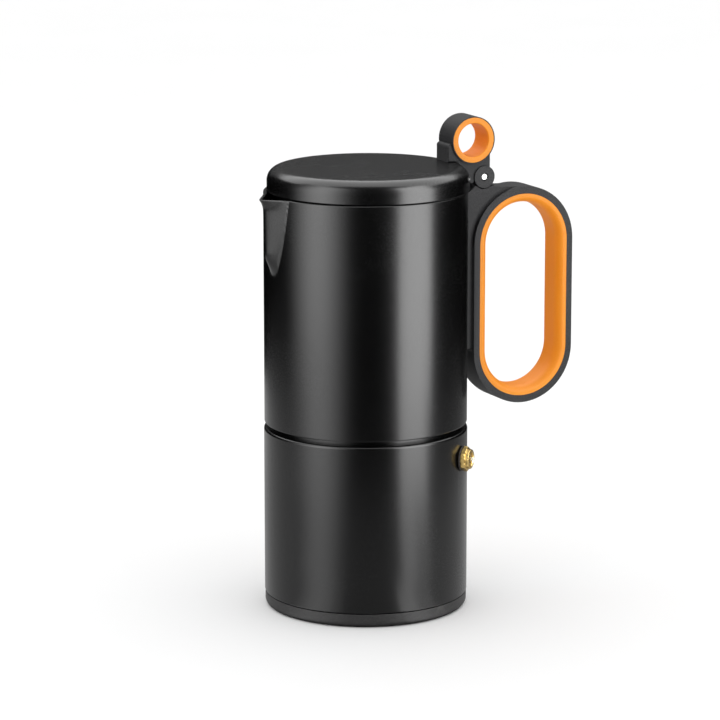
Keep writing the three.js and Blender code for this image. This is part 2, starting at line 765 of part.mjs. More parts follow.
// A soft bush with a flange at each face of the ring.
function ringLiner() {
  const flange = 1.2;
  const outline = [
    [RING_HOLE_RADIUS, -RING_HALF_THICKNESS],
    [RING_LINER_RADIUS, -RING_HALF_THICKNESS],
    [RING_LINER_RADIUS, flange - RING_HALF_THICKNESS],
    [RING_BUSH_RADIUS, flange - RING_HALF_THICKNESS],
    [RING_BUSH_RADIUS, RING_HALF_THICKNESS - flange],
    [RING_LINER_RADIUS, RING_HALF_THICKNESS - flange],
    [RING_LINER_RADIUS, RING_HALF_THICKNESS],
    [RING_HOLE_RADIUS, RING_HALF_THICKNESS],
  ];
  return turned(outline, MEDIUM_SIDES).rotateX(-Math.PI / 2).translate(RING_X, 0, RING_Z);
}

// The lid's screws stand upright, with their heads under the lid.
function lidScrew() {
  const head = LID_TOP - LID_WALL - 0.7;
  return turned(
    [
      [0, head - 1.4],
      [1.5, head - 1.4],
      [2, head - 0.7],
      [2, head],
      [LID_SCREW_RADIUS, head],
      [LID_SCREW_RADIUS, LID_SCREW_TOP],
      [0, LID_SCREW_TOP],
    ],
    SMALL_SIDES,
  );
}

function lidWasher() {
  const top = LID_TOP - LID_WALL - 0.1;
  return turned(ring(LID_SCREW_RADIUS + 0.2, 2.2, top - 0.5, top), SMALL_SIDES);
}

// ---------------------------------------------------------------- the assembly

const pot = new THREE.Group();

function addPiece(name, geometry, material, parent = pot) {
  const mesh = new THREE.Mesh(geometry, material);
  mesh.name = name;
  parent.add(mesh);
  return mesh;
}

function addBoiler() {
  addPiece("induction_base", inductionBase(), satinBlack());
  addPiece("boiler", boiler(), satinBlack());
  const valve = new THREE.Group();
  valve.rotation.z = VALVE_ANGLE;
  pot.add(valve);
  addPiece("valve_body", valveBody(), brass(), valve);
  addPiece("valve_washer", valveWasher(), darkRubber(), valve);
  addPiece("valve_nut", valveNut(), brass(), valve);
  addPiece("valve_piston", valvePiston(), steel(), valve);
  addPiece("valve_spring", valveSpring(), steel(), valve);
  addPiece("valve_retainer", valveRetainer(), brass(), valve);
}

function addFilter() {
  addPiece("funnel", funnel(), castAluminium());
  addPiece("funnel_sieve", funnelSieve(), castAluminium());
  addPiece("gasket", gasket(), paleRubber());
  addPiece("filter_plate", filterPlate(), castAluminium());
}

function addChamber() {
  addPiece("chamber", chamber(), satinBlack());
  addPiece("brew_column", brewColumn(), castAluminium());
}

function addHandle() {
  addPiece("handle", handle(), blackPlastic());
  addPiece("handle_liner", handleLiner(), orangePlastic());
  for (const [place, height] of Object.entries(HANDLE_SCREW_HEIGHTS)) {
    addPiece("handle_screw_" + place, handleScrew(height), steel());
    addPiece("handle_seal_" + place, handleSeal(height), darkRubber());
    addPiece("handle_insert_" + place, handleInsert(height), brass());
  }
  addPiece("hinge_pin", hingePin(), steel());
}

function addLid() {
  addPiece("lid", lid(), satinBlack());
  addPiece("lid_arm", lidArm(), blackPlastic());
  addPiece("lid_ring_liner", ringLiner(), orangePlastic());
  for (const [side, y] of Object.entries({ near: -LID_SCREW_Y, far: LID_SCREW_Y })) {
    addPiece("lid_screw_" + side, lidScrew(), steel()).position.set(LID_SCREW_X, y, 0);
    addPiece("lid_washer_" + side, lidWasher(), steel()).position.set(LID_SCREW_X, y, 0);
  }
}

addBoiler();
addFilter();
addChamber();
addHandle();
addLid();

export default pot;
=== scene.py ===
from math import cos, hypot, pi, radians, sin, sqrt, tan

import bmesh
import bpy
from mathutils import Matrix, Vector


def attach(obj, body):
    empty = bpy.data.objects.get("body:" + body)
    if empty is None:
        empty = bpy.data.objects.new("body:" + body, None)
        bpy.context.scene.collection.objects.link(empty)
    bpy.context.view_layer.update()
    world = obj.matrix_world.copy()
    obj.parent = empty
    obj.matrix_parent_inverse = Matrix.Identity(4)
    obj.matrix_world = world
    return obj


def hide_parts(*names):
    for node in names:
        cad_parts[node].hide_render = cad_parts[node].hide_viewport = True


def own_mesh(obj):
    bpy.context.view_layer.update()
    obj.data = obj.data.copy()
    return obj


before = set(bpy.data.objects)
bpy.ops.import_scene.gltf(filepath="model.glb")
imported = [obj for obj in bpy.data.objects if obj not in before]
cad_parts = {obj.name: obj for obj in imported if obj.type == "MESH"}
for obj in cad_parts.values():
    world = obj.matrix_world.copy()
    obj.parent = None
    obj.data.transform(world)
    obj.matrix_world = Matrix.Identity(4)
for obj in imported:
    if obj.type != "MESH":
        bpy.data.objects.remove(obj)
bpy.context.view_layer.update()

MM = 0.001

# ---------------------------------------------------------------- driving dimensions

BASE_HEIGHT = 6.4
BOILER_SHOULDER = 81.3
NECK_TOP = 92
CHAMBER_BOTTOM = 83.5
CHAMBER_UNDERSIDE = 96
CHAMBER_RIM = 187
LID_BOTTOM = 187.2
LID_TOP = 197.4

BASE_RADIUS = 45.1
BOILER_RADIUS = 45.3
BOILER_WALL = 2.2
BOILER_FLOOR = 2.6
NECK_OUTSIDE = 41.2
NECK_INSIDE = 38.5
CHAMBER_RADIUS = 45.1
CHAMBER_WALL = 1.8
SKIRT_INSIDE = 42.8
CHAMBER_FLOOR = 2.2
LID_RADIUS = 44.7
LID_OFFSET = 1.25
LID_WALL = 1.8
LID_EDGE = 5.8

THREAD_PITCH = 3
THREAD_BASE_WIDTH = 1.7
THREAD_CREST_WIDTH = 0.8
THREAD_START = 85.2
BOILER_THREAD_CREST = 42.2
BOILER_THREAD_TURNS = 1.75
CHAMBER_THREAD_CREST = 41.7
CHAMBER_THREAD_TURNS = 1.25

SPOUT_FOOT = 151.5
SPOUT_HALF_ANGLE = radians(16.5)
SPOUT_BULGE = 3.3
SPOUT_LEAN = 0.9
SPOUT_LIP = 2
SPOUT_LIP_HEIGHT = 6
SPOUT_NOSE_ANGLE = 0.03
SPOUT_BULGE_RISE = 11
SPOUT_DIP = 0.12
SPOUT_DIP_START = 180
SPOUT_DIP_RISE = 7

HANDLE_X = 75.1
HANDLE_Z = 135
HANDLE_HALF_WIDTH = 24.9
HANDLE_HALF_HEIGHT = 49.4
HANDLE_HALF_THICKNESS = 7.8
BRACKET_HALF_THICKNESS = 5.8
BRACKET_BOTTOM = 111.8
LINER_HALF_WIDTH = 22.1
LINER_HALF_HEIGHT = 46.2
LINER_BAND = 2.5
LINER_BULGE = 2.7
LINER_ROUNDING = 5

HINGE_X = 56.1
HINGE_Z = 189.7
KNUCKLE_RADIUS = 5
TONGUE_HALF_WIDTH = 2.6
FORK_SLOT_HALF_WIDTH = 2.9
PIN_RADIUS = 1.45
RING_X = 50
RING_Z = 206.7
RING_RADIUS = 10.5
RING_HALF_THICKNESS = 6.75
RING_LINER_RADIUS = 10.1
RING_BUSH_RADIUS = 9
RING_HOLE_RADIUS = 7.5
FOOT_HALF_THICKNESS = 5.75
NECK_HALF_THICKNESS = 5
FOOT_LEFT = 37.7
FOOT_TOP = 205.5
NECK_RIGHT = 59.2

VALVE_ANGLE = radians(-46.5)
VALVE_HEIGHT = 69.5
VALVE_HEX_ACROSS_FLATS = 10
VALVE_SHANK_RADIUS = 4
VALVE_BORE_RADIUS = 3
VALVE_INNER_END = 38.5
VALVE_SEAT = 40
VALVE_OUTER_END = 49.8
SPRING_OUTER_END = 48.1

FUNNEL_FLANGE_TOP = NECK_TOP + 0.95
BASKET_RADIUS = NECK_INSIDE - 0.4
BASKET_LEDGE = 75.2
STEM_RADIUS = 5.2
STEM_BOTTOM = 13
SHEET = 1
GASKET_TOP = CHAMBER_UNDERSIDE - 0.05
PLATE_RADIUS = 34.2

HANDLE_SCREW_RADIUS = 1.9
HANDLE_SCREW_HEIGHTS = {"upper": 171, "lower": 125}
INSERT_RADIUS = 3.2
INSERT_START = 45.9
INSERT_END = 51.2
INSERT_POCKET_RADIUS = 3.4
INSERT_POCKET_START = 40
INSERT_POCKET_END = 51.6
LID_SCREW_X = 39.8
LID_SCREW_SIDES = {"near": -2.75, "far": 2.75}
LID_SCREW_RADIUS = 1.2
LID_SCREW_TOP = 201.5

# Half the length of a cutter that passes right through the handle or the lid's arm.
THROUGH = 12
# How far from the pot's axis the cutters for holes in the two walls start and end.
BOILER_HOLE = (35, 50)
CHAMBER_HOLE = (38, 50)

# Where a turned piece's axis lies: along X, along Y, out through the safety valve, through the
# lid's hinge, through the arm's ring, or along one of the screws.
ALONG_X = Matrix.Rotation(pi / 2, 4, "Y")
ALONG_Y = Matrix.Rotation(-pi / 2, 4, "X")
ALONG_VALVE = Matrix.Rotation(VALVE_ANGLE, 4, "Z") @ Matrix.Translation((0, 0, VALVE_HEIGHT)) @ ALONG_X
HINGE_AXIS = Matrix.Translation((HINGE_X, 0, HINGE_Z)) @ ALONG_Y
RING_AXIS = Matrix.Translation((RING_X, 0, RING_Z)) @ ALONG_Y


def handle_screw_axis(height):
    return Matrix.Translation((0, 0, height)) @ ALONG_X


def lid_screw_axis(y):
    return Matrix.Translation((LID_SCREW_X, y, 0))


# ---------------------------------------------------------------- mesh helpers


def smooth_step(t):
    x = min(max(t, 0), 1)
    return x * x * (3 - 2 * x)


def ray(angle, length=1.0):
    return Vector((length * cos(angle), length * sin(angle)))


def rounded(outline, steps=4, closed=True):
    """The outline's corners, each [a, b] or [a, b, radius], with the ones that have a radius rounded."""
    result = []
    for i, corner in enumerate(outline):
        here = Vector(corner[:2])
        if len(corner) == 2 or (not closed and i in (0, len(outline) - 1)):
            result.append(here)
            continue
        to_last = (Vector(outline[i - 1][:2]) - here).normalized()
        to_next = (Vector(outline[(i + 1) % len(outline)][:2]) - here).normalized()
        half = to_last.angle(to_next) / 2
        centre = here + (to_last + to_next).normalized() * (corner[2] / sin(half))
        first = here + to_last * (corner[2] / tan(half)) - centre
        last = here + to_next * (corner[2] / tan(half)) - centre
        for k in range(steps + 1):
            result.append(centre + first.slerp(last, k / steps).normalized() * corner[2])
    return result


def obround(x, z, half_width, half_height, steps=40, rows=24):
    """An upright outline with straight sides and round ends."""
    straight = half_height - half_width
    outline = []
    for turn, middle in ((0, z + straight), (pi, z - straight)):
        for k in range(steps + 1):
            outline.append(Vector((x, middle)) + ray(turn + pi * k / steps, half_width))
        side = outline[-1]
        for k in range(1, rows):
            outline.append(side + Vector((0, (2 * straight * k / rows) * (-1 if turn == 0 else 1))))
    return outline


def disc(x, z, radius, sides=96):
    return [Vector((x, z)) + ray(2 * pi * k / sides, radius) for k in range(sides)]


def new_object(name, shape):
    """An object from a bmesh in millimetres, with outward faces and even shading."""
    bmesh.ops.recalc_face_normals(shape, faces=shape.faces)
    mesh = bpy.data.meshes.new(name)
    shape.to_mesh(mesh)
    shape.free()
    mesh.transform(Matrix.Scale(MM, 4))
    piece = bpy.data.objects.new(name, mesh)
    bpy.context.scene.collection.objects.link(piece)
    return shaded(piece)


def shaded(piece, crease=32):
    """Smooth shading, with a crease wherever two faces meet at more than that angle."""
    piece.data.shade_smooth()
    piece.data.set_sharp_from_angle(angle=radians(crease))
    if not piece.modifiers:
        piece.modifiers.new("even shading", "WEIGHTED_NORMAL").keep_sharp = True
    return piece


def turned(name, outline, sides=192, place=None, reshape=None):
    """A turned piece about +Z. The outline's [radius, height] corners close on themselves or on the axis."""
    shape = bmesh.new()
    rings = []
    for radius, height in outline:
        if radius < 1e-6:
            rings.append([shape.verts.new((0, 0, height))] * sides)
            continue
        ring = []
        for k in range(sides):
            angle = 2 * pi * k / sides
            if reshape:
                ring.append(shape.verts.new(reshape(angle, radius, height)))
            else:
                ring.append(shape.verts.new((radius * cos(angle), radius * sin(angle), height)))
        rings.append(ring)
    on_axis = outline[0][0] < 1e-6 and outline[-1][0] < 1e-6
    for i in range(len(rings) - (1 if on_axis else 0)):
        lower, upper = rings[i], rings[(i + 1) % len(rings)]
        for k in range(sides):
            corners = (lower[k], lower[k - 1], upper[k - 1], upper[k])
            shape.faces.new(list(dict.fromkeys(corners)))
    if place:
        shape.transform(place)
    return new_object(name, shape)


def plate(name, outline, half_thickness, rim=0.0, steps=4):
    """A plate with its outline in the XZ plane and its thickness along Y, with rounded rims."""
    shape = bmesh.new()
    near, far = [[shape.verts.new((x, side * half_thickness, z)) for x, z in outline] for side in (-1, 1)]
    faces = [shape.faces.new(near), shape.faces.new(far)]
    for k in range(len(outline)):
        shape.faces.new((near[k - 1], near[k], far[k], far[k - 1]))
    if rim:
        rims = list({edge for face in faces for edge in face.edges})
        bmesh.ops.bevel(shape, geom=rims, offset=rim, segments=steps, profile=0.5, affect="EDGES")
    return new_object(name, shape)


def block(low, high):
    """A box between two corners, for cutting."""
    shape = bmesh.new()
    bmesh.ops.create_cube(shape, size=1)
    middle = (Vector(low) + Vector(high)) / 2
    size = Vector(high) - Vector(low)
    shape.transform(Matrix.Translation(middle) @ Matrix.Diagonal((*size, 1)))
    return new_object("cutter", shape)


def rod(radius, start, end, place=None, sides=96):
    """A round bar about the placed Z axis, for cutting."""
    return turned("cutter", [(0, start), (radius, start), (radius, end), (0, end)], sides, place)


def combine(body, tool, operation):
    """The body with another shape joined to it or cut from it."""
    body.modifiers.clear()
    change = body.modifiers.new(operation, "BOOLEAN")
    change.operation = operation
    change.solver = "EXACT"
    change.object = tool
    now = body.evaluated_get(bpy.context.evaluated_depsgraph_get())
    body.data = bpy.data.meshes.new_from_object(now)
    body.modifiers.clear()
    bpy.data.objects.remove(tool)
    return shaded(body)


def cut(body, *tools):
    for tool in tools:
        combine(body, tool, "DIFFERENCE")
    return body


def join(body, *tools):
    for tool in tools:
        combine(body, tool, "UNION")
    return body


def installed(piece, body, nodes, material):
    """Puts a finished piece on its body, in place of its CAD nodes."""
    piece.data.materials.clear()
    piece.data.materials.append(material)
    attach(piece, body)
    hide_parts(*nodes)
    return piece


# ---------------------------------------------------------------- boiler and its base


def thread_height(angle, level, start_angle, turns):
    """How far a screw thread stands up at one place, from 0 to 1."""
    turn = ((angle - start_angle) / (2 * pi)) % 1
    best = 0
    for whole in range(int(turns) + 1):
        along = (turn + whole) / turns
        if along > 1:
            continue
        middle = THREAD_START + (turn + whole) * THREAD_PITCH
        slope = (THREAD_BASE_WIDTH - THREAD_CREST_WIDTH) / 2
        height = min(1, (THREAD_BASE_WIDTH / 2 - abs(level - middle)) / slope)
        best = max(best, height * min(1, along * 8, (1 - along) * 8))
    return best


def levels(low, high, step):
    count = max(1, round((high - low) / step))
    return [low + (high - low) * k / count for k in range(count + 1)]


def induction_base():
    lip = BASE_HEIGHT - 0.3
    outline = [
        (0, 0),
        (31, 0),
        (31.4, 0.35),
        (32.6, 0.35),
        (33, 0),
        (BASE_RADIUS, 0, 2.5),
        (BASE_RADIUS, lip, 0.25),
        (BASE_RADIUS - 2, lip),
        (BASE_RADIUS - 2, BASE_HEIGHT),
        (0, BASE_HEIGHT),
    ]
    return turned("base_disc", rounded(outline, 8, closed=False), 256)


def boiler():
    inside = BOILER_RADIUS - BOILER_WALL
    bottom = BASE_HEIGHT + BOILER_FLOOR
    outline = [
        (0, BASE_HEIGHT),
        (BOILER_RADIUS, BASE_HEIGHT, 0.5),
        (BOILER_RADIUS, BOILER_SHOULDER, 1.2),
        (NECK_OUTSIDE, BOILER_SHOULDER),
        *[(NECK_OUTSIDE, level) for level in levels(83.6, 91.2, 0.2)],
        (NECK_OUTSIDE, NECK_TOP, 0.3),
        (NECK_INSIDE, NECK_TOP, 0.4),
        (NECK_INSIDE, BOILER_SHOULDER - 0.8, 1),
        (inside, BOILER_SHOULDER - 4.3, 1),
        (inside, bottom, 3),
        (0, bottom),
    ]
    depth = BOILER_THREAD_CREST - NECK_OUTSIDE

    def with_thread(angle, radius, height):
        if abs(radius - NECK_OUTSIDE) < 0.01:
            radius += depth * thread_height(angle, height, 0, BOILER_THREAD_TURNS)
        return radius * cos(angle), radius * sin(angle), height

    shell = turned("boiler_body", rounded(outline, 6, closed=False), 288, reshape=with_thread)
    return cut(shell, rod(VALVE_SHANK_RADIUS + 0.3, *BOILER_HOLE, ALONG_VALVE))


# ---------------------------------------------------------------- safety valve


def within_hexagon(across_flats):
    """A reshape for a turned piece that trims it to a hexagon."""

    def trimmed(angle, radius, height):
        from_flat = angle % (pi / 3) - pi / 6
        size = min(radius, across_flats / 2 / cos(from_flat))
        return size * cos(angle), size * sin(angle), height

    return trimmed


def valve_body():
    """The hexagon, its chamfered corners and the sleeve, in one."""
    corner = VALVE_HEX_ACROSS_FLATS / sqrt(3)
    flat = VALVE_HEX_ACROSS_FLATS / 2
    collar = VALVE_SHANK_RADIUS + 0.4
    hex_start, hex_end = 46.3, 48.4
    outline = [
        (1.5, VALVE_INNER_END),
        (VALVE_SHANK_RADIUS, VALVE_INNER_END, 0.3),
        (VALVE_SHANK_RADIUS, hex_start),
        (flat, hex_start),
        (corner, hex_start + 0.3),
        (corner, hex_end - 0.5),
        (flat + 0.4, hex_end - 0.25),
        (flat - 0.1, hex_end),
        (collar, hex_end, 0.1),
        (collar, VALVE_OUTER_END, 0.35),
        (VALVE_BORE_RADIUS + 0.4, VALVE_OUTER_END),
        (VALVE_BORE_RADIUS, VALVE_OUTER_END - 0.4),
        (VALVE_BORE_RADIUS, VALVE_SEAT),
        (1.5, VALVE_SEAT),
    ]
    trim = within_hexagon(VALVE_HEX_ACROSS_FLATS)
    return turned("valve_brass_body", rounded(outline), 96, ALONG_VALVE, trim)


def valve_washer():
    inner = VALVE_SHANK_RADIUS + 0.6
    corners = [(inner, 45.55), (5.6, 45.55), (5.6, 46.15), (inner, 46.15)]
    return turned("valve_seal_ring", rounded([(*corner, 0.15) for corner in corners]), 96, ALONG_VALVE)


def valve_nut():
    bore = VALVE_SHANK_RADIUS + 0.2
    outline = [(bore, 39.4), (5.4, 39.4), (6.2, 39.9), (6.2, 41.5), (5.4, 42), (bore, 42)]
    return turned("valve_lock_nut", outline, 96, ALONG_VALVE, within_hexagon(6.2 * sqrt(3)))


def valve_piston():
    seat = VALVE_SEAT + 0.15
    tip = VALVE_OUTER_END + 0.6
    disc_edge = VALVE_BORE_RADIUS - 0.3
    outline = [
        (0, seat),
        (disc_edge, seat, 0.2),
        (disc_edge, seat + 1.15, 0.2),
        (0.9, seat + 1.15),
        (0.9, tip, 0.35),
        (0, tip),
    ]
    return turned("valve_pin", rounded(outline, closed=False), 64, ALONG_VALVE)


def valve_retainer():
    edge = VALVE_BORE_RADIUS - 0.15
    corners = [(1.25, 48.6), (edge, 48.6), (edge, 49.2), (1.25, 49.2)]
    return turned("valve_spring_cap", rounded([(*corner, 0.12) for corner in corners]), 64, ALONG_VALVE)


def valve_spring(radius=1.9, wire=0.3, turns=5, per_turn=48, sides=10):
    """A coil of round wire, with the wire cut off flat at both ends."""
    start, end = VALVE_SEAT + 1.8, SPRING_OUTER_END
    shape = bmesh.new()
    rings = []
    for step in range(turns * per_turn + 1):
        along = step / (turns * per_turn)
        angle = 2 * pi * turns * along
        outward = Vector((cos(angle), sin(angle), 0))
        middle = outward * radius + Vector((0, 0, start + (end - start) * along))
        ring = []
        for k in range(sides):
            across = ray(2 * pi * k / sides, wire)
            ring.append(shape.verts.new(middle + outward * across.x + Vector((0, 0, across.y))))
        rings.append(ring)
    for last, following in zip(rings, rings[1:]):
        for k in range(sides):
            shape.faces.new((last[k - 1], last[k], following[k], following[k - 1]))
    shape.faces.new(rings[0])
    shape.faces.new(rings[-1])
    shape.transform(ALONG_VALVE)
    return new_object("valve_coil", shape)


# ---------------------------------------------------------------- funnel, gasket and filter plate


def funnel():
    basket = BASKET_RADIUS - SHEET
    bore = STEM_RADIUS - SHEET
    outline = [
        (bore, STEM_BOTTOM, 0.3),
        (STEM_RADIUS, STEM_BOTTOM, 0.3),
        (STEM_RADIUS, 62, 3),
        (BASKET_RADIUS, 73, 1.2),
        (BASKET_RADIUS, NECK_TOP + 0.1),
        (NECK_OUTSIDE - 0.4, NECK_TOP + 0.1, 0.2),
        (NECK_OUTSIDE - 0.4, FUNNEL_FLANGE_TOP, 0.3),
        (basket, FUNNEL_FLANGE_TOP, 0.5),
        (basket, BASKET_LEDGE, 0.3),
        (BASKET_RADIUS - 3, BASKET_LEDGE, 0.2),
        (BASKET_RADIUS - 3, BASKET_LEDGE - 1.4, 0.3),
        (bore, 63, 3),
    ]
    return turned("coffee_funnel", rounded(outline, 6), 256)


def perforated(name, radius, hole_radius, spacing, bottom, thickness, sides=10):
    """A round plate with a close pattern of small holes."""
    shape = bmesh.new()
    edges = []

    def add_circle(x, y, size, count):
        places = [Vector((x, y)) + ray(2 * pi * k / count, size) for k in range(count)]
        ring = [shape.verts.new((*place, bottom)) for place in places]
        edges.extend(shape.edges.new((ring[k - 1], ring[k])) for k in range(count))

    add_circle(0, 0, radius, 160)
    reach = int(radius / spacing) + 1
    for row in range(-reach, reach + 1):
        for column in range(-reach, reach + 1):
            x = (column + 0.5 * (row % 2)) * spacing
            y = row * spacing * sqrt(3) / 2
            if hypot(x, y) < radius * 0.9:
                add_circle(x, y, hole_radius, sides)
    bmesh.ops.triangle_fill(shape, use_beauty=True, use_dissolve=False, edges=edges)
    lower = list(shape.faces)
    raised = bmesh.ops.extrude_face_region(shape, geom=lower, use_keep_orig=True)["geom"]
    upper = [part for part in raised if isinstance(part, bmesh.types.BMVert)]
    bmesh.ops.translate(shape, verts=upper, vec=(0, 0, thickness))
    return new_object(name, shape)


def funnel_sieve():
    radius = BASKET_RADIUS - SHEET - 0.2
    return perforated("funnel_strainer", radius, 0.55, 3, BASKET_LEDGE + 0.1, 0.7)


def filter_plate():
    return perforated("chamber_filter", PLATE_RADIUS, 0.45, 2.6, GASKET_TOP - 0.95, 0.8)


def gasket():
    bottom = FUNNEL_FLANGE_TOP + 0.05
    inner = PLATE_RADIUS + 0.3
    outline = [
        (31, bottom, 0.4),
        (40.6, bottom, 0.5),
        (40.6, GASKET_TOP, 0.5),
        (inner, GASKET_TOP, 0.1),
        (inner, GASKET_TOP - 1.05, 0.1),
        (31, GASKET_TOP - 1.05, 0.2),
    ]
    return turned("seal_ring", rounded(outline), 224)


# ---------------------------------------------------------------- coffee chamber


def spout_reach(height):
    """How far the spout's ridge stands out of a wall at one height, without its lip."""
    up = height - SPOUT_FOOT
    if up <= 0:
        return 0
    return SPOUT_BULGE * smooth_step(up / SPOUT_BULGE_RISE) + SPOUT_LEAN * up / (CHAMBER_RIM - SPOUT_FOOT)


def spout_radius(wall, height, angle_from_ridge):
    """The radius of a wall with the spout in it: two flat sides, a rounded ridge and a flared lip."""
    reach = spout_reach(height)
    up = (height - SPOUT_FOOT) / (CHAMBER_RIM - SPOUT_FOOT)
    half = SPOUT_HALF_ANGLE * sqrt(min(max(up, 0), 1))
    if reach <= 0 or abs(angle_from_ridge) > half:
        return wall
    slope = (wall + reach - wall * cos(half)) / (wall * sin(half))
    away = hypot(angle_from_ridge, SPOUT_NOSE_ANGLE) - SPOUT_NOSE_ANGLE
    flat = (wall + reach) / (cos(away) + slope * sin(away))
    flare = max(0, 1 - (CHAMBER_RIM - height) / SPOUT_LIP_HEIGHT) ** 2
    return max(wall, flat + SPOUT_LIP * flare * (1 - away / half) ** 2)


def chamber_point(angle, radius, height):
    """One place on the chamber, with the thread in its skirt and the spout in its wall."""
    if abs(radius - SKIRT_INSIDE) < 0.01:
        depth = SKIRT_INSIDE - CHAMBER_THREAD_CREST
        inner = radius - depth * thread_height(angle, height, pi, CHAMBER_THREAD_TURNS)
        return inner * cos(angle), inner * sin(angle), height
    even = angle - pi
    crowding = 0.7
    angle_from_ridge = even - crowding * sin(even)
    size = radius
    if radius > CHAMBER_RADIUS - CHAMBER_WALL - 0.01:
        size = spout_radius(radius, height, angle_from_ridge)
    dip = SPOUT_DIP * (size - radius) * smooth_step((height - SPOUT_DIP_START) / SPOUT_DIP_RISE)
    return -size * cos(angle_from_ridge), -size * sin(angle_from_ridge), height - dip


def chamber():
    inside = CHAMBER_RADIUS - CHAMBER_WALL
    floor_top = CHAMBER_UNDERSIDE + CHAMBER_FLOOR
    spout_levels = levels(SPOUT_FOOT, 182, 1) + levels(182.5, CHAMBER_RIM - 0.7, 0.5)
    outline = [
        (6.4, CHAMBER_UNDERSIDE),
        (SKIRT_INSIDE, CHAMBER_UNDERSIDE),
        *[(SKIRT_INSIDE, level) for level in levels(92, 84.4, 0.2)],
        (SKIRT_INSIDE, CHAMBER_BOTTOM, 0.4),
        (CHAMBER_RADIUS, CHAMBER_BOTTOM, 0.6),
        *[(CHAMBER_RADIUS, level) for level in spout_levels],
        (CHAMBER_RADIUS, CHAMBER_RIM, 0.5),
        (inside, CHAMBER_RIM, 0.5),
        *[(inside, level) for level in reversed(spout_levels)],
        (inside, floor_top, 4),
        (6.4, floor_top, 0.3),
    ]
    shell = turned("chamber_body", rounded(outline, 5), 384, reshape=chamber_point)
    for height in HANDLE_SCREW_HEIGHTS.values():
        cut(shell, rod(HANDLE_SCREW_RADIUS + 0.3, *CHAMBER_HOLE, handle_screw_axis(height), 48))
    return shell


def brew_column():
    foot = CHAMBER_UNDERSIDE + 0.3
    seat = CHAMBER_UNDERSIDE + CHAMBER_FLOOR + 0.1
    outline = [
        (0, 147),
        (3.2, 146, 1.5),
        (4.4, 100, 3),
        (4.4, foot, 0.3),
        (6.1, foot, 0.3),
        (6.1, seat),
        (8.2, seat, 0.2),
        (8.2, seat + 1, 0.4),
        (6.6, seat + 2.5, 1),
        (4.9, 146, 1.5),
        (3.6, 149, 1),
        (0, 150),
    ]
    tube = turned("brewing_column", rounded(outline, 5, closed=False), 96)
    window_half_width, window_reach = 2, 10
    window_bottom, window_top = 138, 144.5
    low = (-window_half_width, -window_reach, window_bottom)
    return cut(tube, block(low, (window_half_width, window_reach, window_top)))


# ---------------------------------------------------------------- handle


def bracket():
    """The flat bracket between the chamber and the loop, up to the hinge."""
    top = HANDLE_Z + HANDLE_HALF_HEIGHT
    corners = [
        (44, BRACKET_BOTTOM),
        (60, BRACKET_BOTTOM),
        (60, 150),
        (HANDLE_X, top),
        (HINGE_X + KNUCKLE_RADIUS, top),
        (HINGE_X + KNUCKLE_RADIUS, HINGE_Z - 3.7),
        (HINGE_X - KNUCKLE_RADIUS, HINGE_Z - 3.7),
        (48.4, 183.3, 1.5),
        (44, 182.6),
    ]
    return plate("bracket", rounded(corners), BRACKET_HALF_THICKNESS, 0.5)


def tongue():
    """The middle knuckle that stands up from the bracket."""
    outline = [
        (HINGE_X - KNUCKLE_RADIUS, HINGE_Z - 12),
        (HINGE_X + KNUCKLE_RADIUS, HINGE_Z - 12),
        *[Vector((HINGE_X, HINGE_Z)) + ray(pi * k / 40, KNUCKLE_RADIUS) for k in range(41)],
    ]
    return plate("tongue", outline, TONGUE_HALF_WIDTH, 0.25)


def handle():
    loop_outline = obround(HANDLE_X, HANDLE_Z, HANDLE_HALF_WIDTH, HANDLE_HALF_HEIGHT)
    loop = plate("loop", loop_outline, HANDLE_HALF_THICKNESS, 1)
    opening = plate("opening", obround(HANDLE_X, HANDLE_Z, LINER_HALF_WIDTH, LINER_HALF_HEIGHT), THROUGH)
    frame_piece = bracket()
    for side in (-1, 1):
        start, end = sorted((side * TONGUE_HALF_WIDTH, side * THROUGH))
        cut(frame_piece, rod(KNUCKLE_RADIUS + 0.5, start, end, HINGE_AXIS))
    join(frame_piece, loop, tongue())
    below_bracket, above_bracket = 100, 200
    pot_wall = rod(CHAMBER_RADIUS + 0.25, below_bracket, above_bracket, sides=256)
    past_tongue = 4
    pin_hole = rod(PIN_RADIUS + 0.15, -past_tongue, past_tongue, HINGE_AXIS, 48)
    cut(frame_piece, opening, pot_wall, pin_hole)
    for height in HANDLE_SCREW_HEIGHTS.values():
        axis = handle_screw_axis(height)
        cut(frame_piece, rod(INSERT_POCKET_RADIUS, INSERT_POCKET_START, INSERT_POCKET_END, axis, 48))
    frame_piece.name = "handle_body"
    return frame_piece


def swept_loop(name, section):
    """A ring that follows the loop's opening. The section's corners are [depth into the opening, Y]."""
    shape = bmesh.new()
    rings = []
    for depth, across in section:
        outline = obround(HANDLE_X, HANDLE_Z, LINER_HALF_WIDTH - depth, LINER_HALF_HEIGHT - depth)
        rings.append([shape.verts.new((x, across, z)) for x, z in outline])
    for i in range(len(rings)):
        ring, following = rings[i - 1], rings[i]
        for k in range(len(ring)):
            shape.faces.new((ring[k - 1], ring[k], following[k], following[k - 1]))
    return new_object(name, shape)


def handle_liner():
    """The soft liner: a flat band on each face, and a rounded inner side."""
    gap = 0.1
    rim = 0.35
    section = rounded(
        [
            (gap, HANDLE_HALF_THICKNESS, rim),
            (gap, -HANDLE_HALF_THICKNESS, rim),
        ],
        closed=False,
    )
    shoulder = HANDLE_HALF_THICKNESS - LINER_ROUNDING
    steps = 16
    for side, order in ((-1, range(steps + 1)), (1, range(steps, -1, -1))):
        for k in order:
            angle = pi / 2 * k / steps
            depth = LINER_BAND - 1 + LINER_BULGE * sin(angle)
            section.append(Vector((depth, side * (shoulder + LINER_ROUNDING * cos(angle)))))
    return swept_loop("handle_soft_liner", section)


